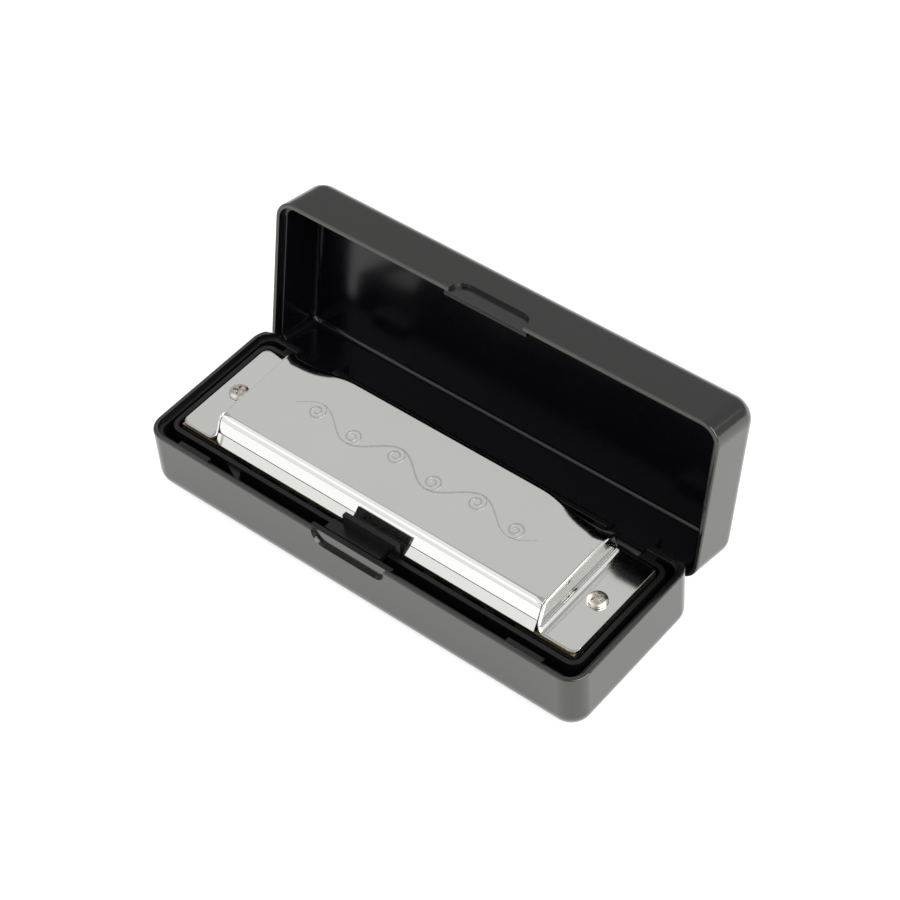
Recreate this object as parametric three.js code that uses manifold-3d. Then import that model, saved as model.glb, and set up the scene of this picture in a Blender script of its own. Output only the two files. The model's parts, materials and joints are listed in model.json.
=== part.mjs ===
// A ten-hole diatonic harmonica lying in its hinged plastic case, with the lid standing open.
// Millimetres. X runs along the harmonica, Y runs from the mouthpiece to the hinge, Z is up.
// The origin is the middle of the case's underside.
import * as THREE from 'three';
import { mergeVertices } from 'three/addons/utils/BufferGeometryUtils.js';
import Module from 'manifold-3d';

const wasm = await Module();
wasm.setup();

// ---- Case ----
const CASE = {
  length: 110.7,
  width: 37.7,
  corner: 4.5,          // radius of the upright corners
  baseHeight: 16.5,     // underside to the base's rim
  lidDepth: 14.2,       // lid's rim to its outer top face
  edge: 5.2,            // radius along the underside
  lidEdge: 4.5,         // radius along the lid's top
  wall: 2.0,
  floor: 1.0,
  lidFloor: 2.2,
  parting: 0.2,         // gap between the two rims when shut
  openAngle: 101.65,    // degrees from shut to standing open
};
// Both rims are stepped on the inside: a thin outer lip, then a ledge a little lower.
const STEP = { lip: 1.0, baseDepth: 1.1, lidDepth: 1.4, gripMargin: 1.0 };
const HINGE = {
  y: 16.1, z: 13.25, inner: 36, outer: 45, knuckle: 1.9, pin: 0.8, bore: 1.15, boss: 2.8, slot: 0.35,
};
const RIM_SWEEP = 3.2;  // the base's rear rim is rounded to this radius about the hinge
const POCKET = { gap: 0.9, wall: 1.0, top: 15.9, corner: 1.6 };
const LEDGE = { from: 43.6, halfWidth: 9.5 };
const GRIP = { from: -9.8, to: 8.8, down: 3.5, up: 3.9, corner: 2.8, depth: 0.8 };
const TONGUE = { from: -5.2, to: 8.5, front: -14.25, back: -13.15, top: 19.75 };
const BEAD = { from: -8.1, to: 6.0, front: -16.6, thickness: 1.3 };
const RIM_RIBS = { spans: [[-46.9, -38.7], [37.9, 46.5]], back: -16.6, below: 0.1, height: 4 };
const GUSSET = { from: -37.1, to: -32.8, tip: -30.6, top: 15.1, height: 5 };

// ---- Harmonica ----
const CLEAR = 0.2;      // gap left between stacked pieces
const HARP = { length: 101, width: 26.04, middleY: 0.15, tabTop: 16.7 };
const SHEET = 0.45;     // cover plate metal
const PLATE = 0.9;      // reed plate metal
const COMB = 5.8;
const COVER = {
  half: 41.5,           // half length of the raised part
  frontRise: 5.3,       // height over the tabs where the top meets the front fold
  crown: 0.8,           // extra height at the back edge
  drop: 2.4,            // how much the back edge falls towards its two ends
  dropFrom: 20,
  foldDepth: 3.2,       // from where the top turns down to the front edge
  lipHeight: 1.75,
  lipSpread: 1.1,       // how far the lip slopes forward below the fold
  lipHalf: 41.0,
  scoop: 1.5,           // how far the back edge is cut forward beside its corners
  dropPower: 3,         // how closely the drop keeps to the back edge
};
const CHAMBER = { pitch: 7.5, width: 5.3, count: 10 };
const REED = {
  thickness: 0.3, pad: 3.2, gap: 0.3, slotFront: -8.6, longest: 16.2, shortest: 9.6, side: 0.35,
};
const RIVET = { shank: 0.45, head: 0.85, headHeight: 0.35 };
const SCREW = { x: 46.2, shank: 1.0, head: 2.1, headHeight: 1.05, hole: 1.35 };
const NUT = { radius: 2.4, height: 1.6 };
const PLATE_PIN = { x: 39.2, y: 10.2, shank: 0.6, head: 1.0, length: 4.5, hole: 0.95 };

// Heights that follow from the stack, from the upper cover's tabs down.
const PLATE_TOP = HARP.tabTop - SHEET - CLEAR;
const COMB_TOP = PLATE_TOP - PLATE - CLEAR;
const COMB_BOTTOM = COMB_TOP - COMB;
const MIDDLE_Z = (COMB_TOP + COMB_BOTTOM) / 2;
const LOWER_TAB = 2 * MIDDLE_Z - HARP.tabTop;
const HARP_FRONT = HARP.middleY - HARP.width / 2;
const HARP_BACK = HARP.middleY + HARP.width / 2;

const FINISH = {
  blackPlastic: { color: 0x0b0b0c, roughness: 0.22, metalness: 0.0 },
  chrome: { color: 0xd8d8d6, roughness: 0.12, metalness: 1.0 },
  brass: { color: 0xb89a55, roughness: 0.35, metalness: 1.0 },
  steel: { color: 0xc4c2bd, roughness: 0.25, metalness: 1.0 },
  combPlastic: { color: 0x141416, roughness: 0.4, metalness: 0.0 },
};

// ---- Solids ----
function toManifold(geometry) {
  const bare = geometry.clone();
  bare.deleteAttribute('normal');
  bare.deleteAttribute('uv');
  const merged = mergeVertices(bare, 1e-4);
  return new wasm.Manifold(new wasm.Mesh({
    numProp: 3,
    vertProperties: new Float32Array(merged.attributes.position.array),
    triVerts: new Uint32Array(merged.index.array),
  }));
}

function toGeometry(manifold) {
  const mesh = manifold.getMesh();
  const geometry = new THREE.BufferGeometry();
  geometry.setAttribute('position', new THREE.BufferAttribute(new Float32Array(mesh.vertProperties), 3));
  geometry.setIndex(new THREE.BufferAttribute(new Uint32Array(mesh.triVerts), 1));
  return geometry;
}

function block(x0, x1, y0, y1, z0, z1) {
  const geometry = new THREE.BoxGeometry(x1 - x0, y1 - y0, z1 - z0);
  return toManifold(geometry.translate((x0 + x1) / 2, (y0 + y1) / 2, (z0 + z1) / 2));
}

function uprightCylinder(radius, z0, z1, x, y, sides = 20) {
  const geometry = new THREE.CylinderGeometry(radius, radius, z1 - z0, sides).rotateX(Math.PI / 2);
  return toManifold(geometry.translate(x, y, (z0 + z1) / 2));
}

function lengthwiseCylinder(radius, x0, x1, y, z, sides = 24) {
  const geometry = new THREE.CylinderGeometry(radius, radius, x1 - x0, sides).rotateZ(Math.PI / 2);
  return toManifold(geometry.translate((x0 + x1) / 2, y, z));
}

// Points of a rounded rectangle at one height, anticlockwise seen from above.
function ring(halfX, halfY, radius, z, middleY = 0, cornerSteps = 6) {
  const points = [];
  for (const [sx, sy, start] of [[1, 1, 0], [-1, 1, 1], [-1, -1, 2], [1, -1, 3]]) {
    for (let i = 0; i <= cornerSteps; i++) {
      const a = (start + i / cornerSteps) * Math.PI / 2;
      points.push([
        sx * (halfX - radius) + radius * Math.cos(a),
        middleY + sy * (halfY - radius) + radius * Math.sin(a),
        z,
      ]);
    }
  }
  return points;
}

// A closed solid through a stack of rings, lowest first.
function loft(rings) {
  const count = rings[0].length;
  const positions = rings.flat(2);
  const index = [];
  for (let r = 0; r + 1 < rings.length; r++) {
    for (let i = 0; i < count; i++) {
      const a = r * count + i;
      const b = r * count + (i + 1) % count;
      index.push(a, b, b + count, a, b + count, a + count);
    }
  }
  const top = (rings.length - 1) * count;
  for (let i = 1; i + 1 < count; i++) {
    index.push(0, i + 1, i);
    index.push(top, top + i, top + i + 1);
  }
  const geometry = new THREE.BufferGeometry();
  geometry.setAttribute('position', new THREE.Float32BufferAttribute(positions, 3));
  geometry.setIndex(index);
  return toManifold(geometry);
}

// A tray-shaped block from z0 up to z1 whose lower edge is rounded all the way round.
function roundedTray(halfX, halfY, corner, edge, z0, z1, rimRound = 0) {
  const rings = [];
  const steps = 6;
  for (let i = 0; i <= steps; i++) {
    const a = i / steps * Math.PI / 2;
    const inset = edge * (1 - Math.sin(a));
    const radius = Math.max(corner - inset * 0.6, 0.8);
    rings.push(ring(halfX - inset, halfY - inset, radius, z0 + edge * (1 - Math.cos(a))));
  }
  if (rimRound > 0) {
    rings.push(ring(halfX, halfY, corner, z1 - rimRound));
    rings.push(ring(halfX - rimRound, halfY - rimRound, corner - rimRound, z1));
  } else {
    rings.push(ring(halfX, halfY, corner, z1));
  }
  return loft(rings);
}

// A bent sheet: a grid of points on its outer face, thickened inwards along its own normals.
function bentSheet(grid, thickness) {
  const rows = grid.length;
  const columns = grid[0].length;
  const at = (r, c) => grid[Math.min(Math.max(r, 0), rows - 1)][Math.min(Math.max(c, 0), columns - 1)];
  const outer = grid.flat();
  const inner = [];
  for (let r = 0; r < rows; r++) {
    for (let c = 0; c < columns; c++) {
      const along = new THREE.Vector3().subVectors(at(r + 1, c), at(r - 1, c)).normalize();
      const across = new THREE.Vector3().subVectors(at(r, c + 1), at(r, c - 1)).normalize();
      const normal = along.cross(across).normalize();
      inner.push(grid[r][c].clone().addScaledVector(normal, -thickness));
    }
  }
  const index = [];
  const quad = (a, b, c, d) => index.push(a, b, c, a, c, d);
  const back = rows * columns;
  const id = (r, c) => r * columns + c;
  for (let r = 0; r + 1 < rows; r++) {
    for (let c = 0; c + 1 < columns; c++) {
      quad(id(r, c), id(r + 1, c), id(r + 1, c + 1), id(r, c + 1));
      quad(back + id(r, c), back + id(r, c + 1), back + id(r + 1, c + 1), back + id(r + 1, c));
    }
    quad(id(r + 1, 0), id(r, 0), back + id(r, 0), back + id(r + 1, 0));
    const last = columns - 1;
    quad(id(r, last), id(r + 1, last), back + id(r + 1, last), back + id(r, last));
  }
  for (let c = 0; c + 1 < columns; c++) {
    quad(id(0, c), id(0, c + 1), back + id(0, c + 1), back + id(0, c));
    const last = rows - 1;
    quad(id(last, c + 1), id(last, c), back + id(last, c), back + id(last, c + 1));
  }
  const geometry = new THREE.BufferGeometry().setFromPoints([...outer, ...inner]);
  geometry.setIndex(index);
  return toManifold(geometry);
}

const smooth = (from, to, value) => THREE.MathUtils.smoothstep(value, from, to);

// ---- Case pieces ----
// A finger grip: a shallow hollow in the front wall, open at the rim.
function gripCutter(rimZ, farZ) {
  const side = Math.sign(farZ - rimZ);
  const shape = new THREE.Shape();
  const { from, to, corner } = GRIP;
  shape.moveTo(from, rimZ - side);
  shape.lineTo(from, farZ - side * corner);
  shape.quadraticCurveTo(from, farZ, from + corner, farZ);
  shape.lineTo(to - corner, farZ);
  shape.quadraticCurveTo(to, farZ, to, farZ - side * corner);
  shape.lineTo(to, rimZ - side);
  shape.closePath();
  const geometry = new THREE.ExtrudeGeometry(shape, {
    depth: 3, bevelEnabled: false, curveSegments: 5,
  }).rotateX(Math.PI / 2);
  return toManifold(geometry.translate(0, -CASE.width / 2 + GRIP.depth, 0));
}

// Cuts the ledge inside a rim; the front wall keeps its full thickness behind the grip.
function stepCutter(openZ, ledgeZ) {
  const halfX = CASE.length / 2 - STEP.lip;
  const halfY = CASE.width / 2 - STEP.lip;
  const radius = CASE.corner - STEP.lip;
  const [z0, z1] = [openZ, ledgeZ].sort((a, b) => a - b);
  const cutter = loft([ring(halfX, halfY, radius, z0), ring(halfX, halfY, radius, z1)]);
  return cutter.subtract(block(GRIP.from - STEP.gripMargin, GRIP.to + STEP.gripMargin,
    -halfY - 1, -CASE.width / 2 + CASE.wall, z0 - 1, z1 + 1));
}

function caseBase() {
  const halfX = CASE.length / 2;
  const halfY = CASE.width / 2;
  const rim = CASE.baseHeight;
  const wall = CASE.wall;
  let base = roundedTray(halfX, halfY, CASE.corner, CASE.edge, 0, rim, 0.5);
  base = base.subtract(roundedTray(
    halfX - wall, halfY - wall, CASE.corner - wall, CASE.edge - wall, CASE.floor, rim + 1));
  base = base.subtract(stepCutter(rim + 1, rim - STEP.baseDepth));

  // Upright wall round the harmonica's pocket.
  const innerX = HARP.length / 2 + POCKET.gap;
  const innerY = HARP.width / 2 + POCKET.gap;
  const outerX = innerX + POCKET.wall;
  const outerY = innerY + POCKET.wall;
  const low = CASE.floor - 0.3;
  const pocketOutside = loft([
    ring(outerX, outerY, POCKET.corner + POCKET.wall, low, HARP.middleY),
    ring(outerX, outerY, POCKET.corner + POCKET.wall, POCKET.top, HARP.middleY)]);
  const pocketInside = loft([
    ring(innerX, innerY, POCKET.corner, low - 1, HARP.middleY),
    ring(innerX, innerY, POCKET.corner, POCKET.top + 1, HARP.middleY)]);
  base = base.add(pocketOutside.subtract(pocketInside));

  // Ledges that carry the harmonica by its two ends, hollow under the nuts.
  for (const side of [-1, 1]) {
    const ends = [side * LEDGE.from, side * (innerX + 0.5)].sort((a, b) => a - b);
    const ledge = block(ends[0], ends[1], -LEDGE.halfWidth, LEDGE.halfWidth, low, LOWER_TAB - CLEAR);
    base = base.add(ledge);
    base = base.subtract(uprightCylinder(
      NUT.radius + 0.6, LOWER_TAB - NUT.height - 1.2, LOWER_TAB + 1, side * SCREW.x, HARP.middleY));
  }

  // Bosses for the hinge pins, in the groove behind the pocket.
  const slotInner = HINGE.inner - HINGE.slot;
  const slotOuter = HINGE.outer + HINGE.slot;
  for (const side of [-1, 1]) {
    for (const [a, b] of [[slotInner - HINGE.boss, slotInner], [slotOuter, slotOuter + HINGE.boss]]) {
      const x0 = Math.min(side * a, side * b);
      const x1 = Math.max(side * a, side * b);
      base = base.add(block(x0, x1, 15, halfY - wall + 0.3, low, HINGE.z + 2));
    }
  }

  // The rear rim is rounded about the hinge so that the lid can turn past it.
  const behind = block(-halfX - 1, halfX + 1, HINGE.y, halfY + 1, HINGE.z, rim + 1);
  base = base.subtract(behind.subtract(
    lengthwiseCylinder(RIM_SWEEP, -halfX - 2, halfX + 2, HINGE.y, HINGE.z, 48)));

  // Slots for the lid's knuckles, and the bores for their pins.
  for (const side of [-1, 1]) {
    const x0 = Math.min(side * slotInner, side * slotOuter);
    const x1 = Math.max(side * slotInner, side * slotOuter);
    base = base.subtract(block(x0, x1, HARP_BACK + 0.6, halfY + 1, HINGE.z - 2.6, rim + 1));
    base = base.subtract(lengthwiseCylinder(
      HINGE.bore, x0 - HINGE.boss - 1, x1 + HINGE.boss + 1, HINGE.y, HINGE.z, 20));
  }

  // Latch: a tongue that stands up in front of the harmonica, and the bead at its foot.
  base = base.add(block(TONGUE.from, TONGUE.to, TONGUE.front, TONGUE.back, POCKET.top - 5, TONGUE.top));
  base = base.add(block(BEAD.from, BEAD.to, BEAD.front, TONGUE.front + 0.3, rim - BEAD.thickness, rim));

  // Short ribs along the front rim near its corners, and the gusset that stiffens the pocket wall.
  const front = -halfY + wall;
  for (const [from, to] of RIM_RIBS.spans) {
    base = base.add(block(from, to, -halfY + STEP.lip - 0.2, RIM_RIBS.back,
      rim - RIM_RIBS.height, rim - RIM_RIBS.below));
  }
  const gusset = new THREE.Shape([new THREE.Vector2(GUSSET.from, HARP.middleY - innerY - 0.5),
    new THREE.Vector2(GUSSET.tip, front - 0.3), new THREE.Vector2(GUSSET.to, HARP.middleY - innerY - 0.5)]);
  base = base.add(toManifold(new THREE.ExtrudeGeometry(gusset, { depth: GUSSET.height, bevelEnabled: false })
    .translate(0, 0, GUSSET.top - GUSSET.height)));
  base = base.subtract(gripCutter(rim, rim - GRIP.down));
  return toGeometry(base);
}

// The lid is drawn shut, measured from the hinge line, then stood open by its group.
function caseLid() {
  const halfX = CASE.length / 2;
  const halfY = CASE.width / 2;
  const rim = CASE.baseHeight + CASE.parting;
  const top = rim + CASE.lidDepth;
  const wall = CASE.wall;
  const flip = (solid) => solid.rotate([180, 0, 0]);
  let lid = flip(roundedTray(halfX, halfY, CASE.corner, CASE.lidEdge, -top, -rim, 0.4));
  lid = lid.subtract(flip(roundedTray(halfX - wall, halfY - wall, CASE.corner - wall,
    CASE.lidEdge - wall, CASE.lidFloor - top, 1 - rim)));
  lid = lid.subtract(stepCutter(rim - 1, rim + STEP.lidDepth));

  // Two ears reach down from the rear wall to the hinge line.
  for (const side of [-1, 1]) {
    const x0 = Math.min(side * HINGE.inner, side * HINGE.outer);
    const x1 = Math.max(side * HINGE.inner, side * HINGE.outer);
    let ear = lengthwiseCylinder(HINGE.knuckle, x0, x1, HINGE.y, HINGE.z);
    ear = ear.add(block(x0, x1, HINGE.y - 1, halfY - wall + 0.4, HINGE.z, rim + 3));
    lid = lid.add(ear).subtract(lengthwiseCylinder(HINGE.bore, x0 - 1, x1 + 1, HINGE.y, HINGE.z, 20));
  }
  lid = lid.subtract(gripCutter(rim, rim + GRIP.up));
  return toGeometry(lid).translate(0, -HINGE.y, -HINGE.z);
}

function hingePin(side) {
  const reach = HINGE.boss - 0.2;
  const x0 = Math.min(side * (HINGE.inner - reach), side * (HINGE.outer + reach));
  const x1 = Math.max(side * (HINGE.inner - reach), side * (HINGE.outer + reach));
  return toGeometry(lengthwiseCylinder(HINGE.pin, x0, x1, HINGE.y, HINGE.z, 16));
}

// ---- Harmonica pieces ----
// Height of the cover's top over its tabs.
function coverRise(x, y) {
  const along = (y - HARP_FRONT - COVER.foldDepth) / (HARP.width - COVER.foldDepth);
  const back = THREE.MathUtils.clamp(along, 0, 1);
  const fall = COVER.drop * smooth(COVER.dropFrom, COVER.half, Math.abs(x));
  return COVER.frontRise + COVER.crown * back - fall * back ** COVER.dropPower;
}

// Where the back edge of the cover lies: the two corners stay back, beside a shallow scoop.
function coverBack(x) {
  const across = Math.abs(x);
  return HARP_BACK - 0.6 - COVER.scoop * smooth(24, 34, across) * (1 - smooth(38.5, 41.4, across));
}

// One stamped sheet: end tabs, end walls, arched top, front fold and front lip.
function cover() {
  // [distance from the middle, share of the full height] from the tab up over the end wall.
  const wallX = COVER.half;
  const endWall = [[HARP.length / 2, 0], [wallX + 1.7, 0], [wallX + 0.75, 0.06], [wallX + 0.3, 0.2],
    [wallX + 0.15, 0.8], [wallX, 0.95], [wallX - 0.7, 1]];
  const top = [38, 34.5, 31, 27.5, 24, 20, 13, 6].map((x) => [x, 1]);
  const half = [...endWall, ...top];
  const stations = [...half.map(([x, share]) => [-x, share]), [0, 1],
    ...half.map(([x, share]) => [x, share]).reverse()];
  const columns = 9;
  const foldStart = HARP_FRONT + COVER.foldDepth;
  const point = (x, y, share) => new THREE.Vector3(x, y, HARP.tabTop + share * coverRise(x, y));

  const saddle = stations.map(([x, share]) => {
    const onTab = 1 - smooth(0, 1, share);
    const y0 = THREE.MathUtils.lerp(foldStart - 0.4, HARP_FRONT, onTab);
    const y1 = THREE.MathUtils.lerp(coverBack(x), HARP_BACK, onTab);
    return Array.from({ length: columns }, (_, c) =>
      point(x, THREE.MathUtils.lerp(y0, y1, c / (columns - 1)), share));
  });

  // The front fold is a quarter ellipse that turns down into the sloping lip.
  const foldRise = COVER.frontRise - COVER.lipHeight;
  const lipStations = [-COVER.lipHalf, -24, -8, 8, 24, COVER.lipHalf];
  const lip = lipStations.map((x) => {
    const line = [new THREE.Vector3(x, HARP_FRONT, HARP.tabTop - SHEET + 0.05)];
    for (let i = 0; i <= 5; i++) {
      const a = i / 5 * Math.PI / 2;
      line.push(new THREE.Vector3(x, foldStart - (COVER.foldDepth - COVER.lipSpread) * Math.cos(a),
        HARP.tabTop + COVER.lipHeight + foldRise * Math.sin(a)));
    }
    // The lip's inner end is sunk a little into the top, so that the two sheets join cleanly.
    line.push(new THREE.Vector3(x, foldStart + 0.6, HARP.tabTop + COVER.frontRise - 0.06));
    return line;
  });
  let sheet = bentSheet(saddle, SHEET).add(bentSheet(lip, SHEET));
  for (const side of [-1, 1]) {
    sheet = sheet.subtract(uprightCylinder(
      SCREW.hole, HARP.tabTop - 2, HARP.tabTop + 2, side * SCREW.x, HARP.middleY));
  }
  const sliver = 0.004;
  return toGeometry(sheet.simplify(sliver));
}

const chamberX = (n) => (n - (CHAMBER.count - 1) / 2) * CHAMBER.pitch;
const slotLength = (n) => THREE.MathUtils.lerp(REED.longest, REED.shortest, n / (CHAMBER.count - 1));
const slotBack = (n) => REED.slotFront + slotLength(n);
const reedWidth = (n) => THREE.MathUtils.lerp(2.4, 2.0, n / (CHAMBER.count - 1));
// A blow reed is riveted behind its slot and a draw reed in front of it.
const rootY = (n, blow) => (blow ? slotBack(n) + 0.2 : REED.slotFront - 0.2);
const rivetY = (n, blow) => rootY(n, blow) + (blow ? 1 : -1) * REED.pad * 0.55;

function comb() {
  let body = block(-HARP.length / 2 + 0.1, HARP.length / 2 - 0.1, HARP_FRONT, HARP_BACK - 0.1,
    COMB_BOTTOM, COMB_TOP);
  for (let n = 0; n < CHAMBER.count; n++) {
    const x = chamberX(n);
    body = body.subtract(block(x - CHAMBER.width / 2, x + CHAMBER.width / 2, HARP_FRONT - 1,
      slotBack(n) + REED.pad + 0.8, COMB_BOTTOM - 1, COMB_TOP + 1));
  }
  for (const side of [-1, 1]) {
    body = body.subtract(uprightCylinder(
      SCREW.hole, COMB_BOTTOM - 1, COMB_TOP + 1, side * SCREW.x, HARP.middleY, 16));
    body = body.subtract(uprightCylinder(PLATE_PIN.hole, COMB_BOTTOM - 1, COMB_TOP + 1,
      side * PLATE_PIN.x, PLATE_PIN.y, 12));
  }
  return toGeometry(body);
}

function reedPlate(blow) {
  const z0 = blow ? PLATE_TOP - PLATE : COMB_BOTTOM - CLEAR - PLATE;
  let plate = block(-HARP.length / 2 + 0.15, HARP.length / 2 - 0.15, HARP_FRONT + 0.1, HARP_BACK - 0.15,
    z0, z0 + PLATE);
  for (let n = 0; n < CHAMBER.count; n++) {
    const reach = reedWidth(n) / 2 + REED.side;
    plate = plate.subtract(block(chamberX(n) - reach, chamberX(n) + reach,
      REED.slotFront, slotBack(n), z0 - 1, z0 + PLATE + 1));
    plate = plate.subtract(uprightCylinder(
      RIVET.shank + 0.3, z0 - 1, z0 + PLATE + 1, chamberX(n), rivetY(n, blow), 12));
  }
  for (const side of [-1, 1]) {
    plate = plate.subtract(uprightCylinder(
      SCREW.hole, z0 - 1, z0 + PLATE + 1, side * SCREW.x, HARP.middleY, 16));
    plate = plate.subtract(uprightCylinder(
      PLATE_PIN.hole, z0 - 1, z0 + PLATE + 1, side * PLATE_PIN.x, PLATE_PIN.y, 12));
  }
  return toGeometry(plate);
}

// Blow reeds hang inside the chambers, draw reeds lie outside the lower plate.
const reedTop = (blow) => (blow ? PLATE_TOP - PLATE : COMB_BOTTOM - CLEAR - PLATE) - REED.gap;

function reed(n, blow) {
  const towardTip = blow ? -1 : 1;
  const half = reedWidth(n) / 2;
  const tip = slotLength(n) - 0.4;
  const shape = new THREE.Shape();
  shape.moveTo(-half - 0.25, -REED.pad * towardTip);
  shape.lineTo(-half - 0.25, 0);
  shape.lineTo(-half * 0.85, tip * towardTip);
  shape.lineTo(half * 0.85, tip * towardTip);
  shape.lineTo(half + 0.25, 0);
  shape.lineTo(half + 0.25, -REED.pad * towardTip);
  shape.closePath();
  const geometry = new THREE.ExtrudeGeometry(shape, { depth: REED.thickness, bevelEnabled: false });
  geometry.translate(chamberX(n), rootY(n, blow), reedTop(blow) - REED.thickness);
  return toGeometry(toManifold(geometry).subtract(uprightCylinder(
    RIVET.shank + 0.3, reedTop(blow) - 2, reedTop(blow) + 2, chamberX(n), rivetY(n, blow), 12)));
}

// A turned piece from [radius, height] pairs that start and end on the axis.
function turned(profile, sides) {
  const points = profile.map(([radius, height]) => new THREE.Vector2(radius, height));
  return toManifold(new THREE.LatheGeometry(points, sides).rotateX(Math.PI / 2));
}

function rivet(n, blow) {
  const plateTop = reedTop(blow) + REED.gap + PLATE;
  const reedUnder = reedTop(blow) - REED.thickness;
  const { shank, head, headHeight } = RIVET;
  const low = reedUnder - CLEAR - headHeight;
  const high = plateTop + 0.1 + headHeight;
  const body = turned([[0, low], [head * 0.7, low], [head, low + headHeight], [shank, low + headHeight],
    [shank, high - headHeight], [head, high - headHeight], [head * 0.7, high], [0, high]], 12);
  return toGeometry(body.translate([chamberX(n), rivetY(n, blow), 0]));
}

// Pan-head screw with a cross recess, down through both covers.
function coverScrew(side) {
  const under = HARP.tabTop + 0.1;
  const top = under + SCREW.headHeight;
  const end = LOWER_TAB - NUT.height - 0.3;
  const { head, shank } = SCREW;
  let screw = turned([[0, end], [shank * 0.7, end], [shank, end + 0.4], [shank, under], [head, under],
    [head, under + 0.35], [head * 0.86, top - 0.25], [head * 0.55, top - 0.05], [0, top]], 24);
  for (const turn of [0, 90]) {
    const wing = block(-head * 0.62, head * 0.62, -0.24, 0.24, top - 0.65, top + 1);
    screw = screw.subtract(wing.rotate([0, 0, turn + 28 * side]));
  }
  return toGeometry(screw.translate([side * SCREW.x, HARP.middleY, 0]));
}

function coverNut(side) {
  const top = LOWER_TAB - 0.1;
  let nut = uprightCylinder(NUT.radius, top - NUT.height, top, side * SCREW.x, HARP.middleY, 6);
  nut = nut.subtract(uprightCylinder(
    SCREW.shank + 0.25, top - NUT.height - 1, top + 1, side * SCREW.x, HARP.middleY, 16));
  return toGeometry(nut);
}

// Short pin that holds a reed plate to the comb; the head is on the outside.
function platePin(side, upper) {
  const under = PLATE_TOP + 0.05;
  const { shank, head, length } = PLATE_PIN;
  let pin = turned([[0, under - length * 0.55], [shank, under - length * 0.45], [shank, under],
    [head, under], [head, under + 0.25], [0, under + 0.35]], 12);
  if (!upper) {
    pin = pin.translate([0, 0, -MIDDLE_Z]).rotate([180, 0, 0]).translate([0, 0, MIDDLE_Z]);
  }
  return toGeometry(pin.translate([side * PLATE_PIN.x, PLATE_PIN.y, 0]));
}

// ---- Assembly ----
function named(name, geometry, finish) {
  const mesh = new THREE.Mesh(geometry, new THREE.MeshStandardMaterial(finish));
  mesh.name = name;
  return mesh;
}

const model = new THREE.Group();
model.add(named('case_base', caseBase(), FINISH.blackPlastic));

const lidGroup = new THREE.Group();
lidGroup.position.set(0, HINGE.y, HINGE.z);
lidGroup.rotation.x = -THREE.MathUtils.degToRad(CASE.openAngle);
lidGroup.add(named('case_lid', caseLid(), FINISH.blackPlastic));
model.add(lidGroup);

const harmonica = new THREE.Group();
harmonica.add(named('comb', comb(), FINISH.combPlastic));
harmonica.add(named('upper_reed_plate', reedPlate(true), FINISH.brass));
harmonica.add(named('lower_reed_plate', reedPlate(false), FINISH.brass));
harmonica.add(named('upper_cover', cover(), FINISH.chrome));

// The lower cover is the upper one turned half a turn about the comb's middle line.
const lowerCover = named('lower_cover', cover(), FINISH.chrome);
lowerCover.rotation.y = Math.PI;
lowerCover.position.z = 2 * MIDDLE_Z;
harmonica.add(lowerCover);

for (const [side, word] of [[-1, 'left'], [1, 'right']]) {
  model.add(named(`hinge_pin_${word}`, hingePin(side), FINISH.steel));
  harmonica.add(named(`cover_screw_${word}`, coverScrew(side), FINISH.steel));
  harmonica.add(named(`cover_nut_${word}`, coverNut(side), FINISH.steel));
  harmonica.add(named(`upper_plate_pin_${word}`, platePin(side, true), FINISH.brass));
  harmonica.add(named(`lower_plate_pin_${word}`, platePin(side, false), FINISH.brass));
}
for (let n = 0; n < CHAMBER.count; n++) {
  const number = String(n + 1).padStart(2, '0');
  for (const [blow, word] of [[true, 'blow'], [false, 'draw']]) {
    harmonica.add(named(`${word}_reed_${number}`, reed(n, blow), FINISH.brass));
    harmonica.add(named(`${word}_rivet_${number}`, rivet(n, blow), FINISH.brass));
  }
}
model.add(harmonica);

export default model;
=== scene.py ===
"""A ten-hole diatonic harmonica lying in its hinged black case, with the lid open.

The looks are built round the CAD frame. Shapes are worked out in millimetres in the frame's own
axes (X along the harmonica, Y towards the hinge, Z up, origin under the middle of the case) and
turned into metres when a mesh is made.
"""

import json
import math

import bmesh
import bpy
from mathutils import Matrix, Vector


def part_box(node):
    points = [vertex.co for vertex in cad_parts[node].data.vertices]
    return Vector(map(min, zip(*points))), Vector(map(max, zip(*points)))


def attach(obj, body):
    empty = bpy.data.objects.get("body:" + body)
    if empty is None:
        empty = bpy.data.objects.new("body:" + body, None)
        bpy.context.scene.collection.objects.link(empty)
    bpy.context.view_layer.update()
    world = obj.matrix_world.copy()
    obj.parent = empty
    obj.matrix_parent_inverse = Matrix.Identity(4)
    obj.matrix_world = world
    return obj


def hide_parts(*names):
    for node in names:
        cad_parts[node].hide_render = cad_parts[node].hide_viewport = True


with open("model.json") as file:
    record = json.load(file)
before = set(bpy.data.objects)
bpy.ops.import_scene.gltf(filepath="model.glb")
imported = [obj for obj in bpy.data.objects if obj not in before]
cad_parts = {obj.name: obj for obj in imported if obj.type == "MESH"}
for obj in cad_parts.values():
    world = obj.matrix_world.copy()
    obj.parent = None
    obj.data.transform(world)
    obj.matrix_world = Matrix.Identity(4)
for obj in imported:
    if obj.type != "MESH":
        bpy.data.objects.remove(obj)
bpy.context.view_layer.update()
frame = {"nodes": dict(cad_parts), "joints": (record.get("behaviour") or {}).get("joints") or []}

MM = 0.001
BASE_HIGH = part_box("case_base")[1] / MM
TAB_LOW, TAB_HIGH = (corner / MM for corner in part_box("upper_cover"))
COMB_LOW, COMB_HIGH = (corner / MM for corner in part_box("comb"))
JOINTS = {joint["name"]: joint for joint in frame["joints"]}

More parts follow.
